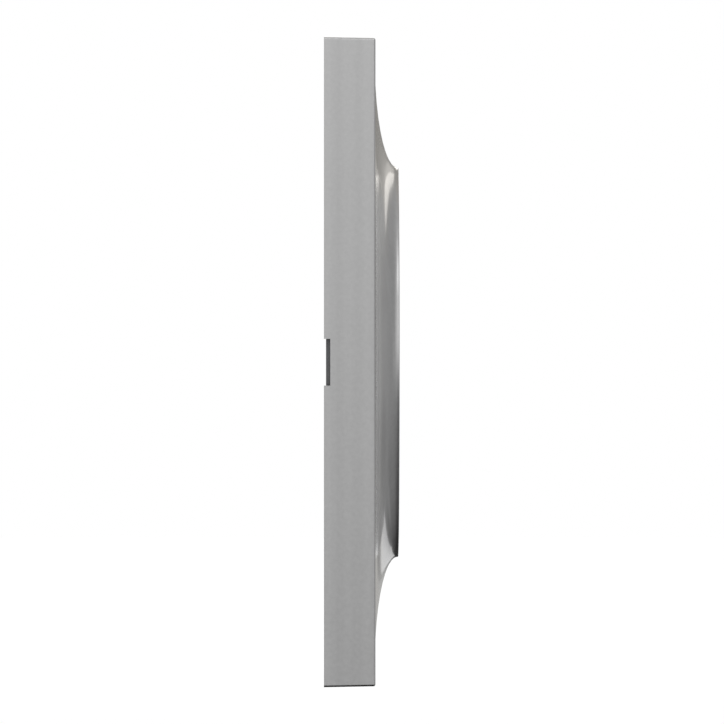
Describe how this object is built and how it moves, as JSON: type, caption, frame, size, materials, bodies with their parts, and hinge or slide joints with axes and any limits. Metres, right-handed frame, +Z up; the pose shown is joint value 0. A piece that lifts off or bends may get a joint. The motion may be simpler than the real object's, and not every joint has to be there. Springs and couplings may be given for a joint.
{
  "type": "switch plate",
  "caption": "Square wall plate for a light switch: a satin silver cast shell whose front sweeps up to a thin round lip, with a dark moulded clip frame inside.",
  "frame": {"origin": "centre of the face that rests on the wall, on the axis of the round opening", "axes": "+Y into the wall, so the front looks along -Y; +Z up; +X to the right as seen from the front; the pry notch is on the -X side"},
  "size_m": [0.082, 0.0097, 0.082],
  "materials": {
    "satin_silver": "satin",
    "dark_plastic": "matte"
  },
  "bodies": {
    "root": {"front_plate": "satin_silver", "clip_frame": "dark_plastic"}
  },
  "joints": []
}
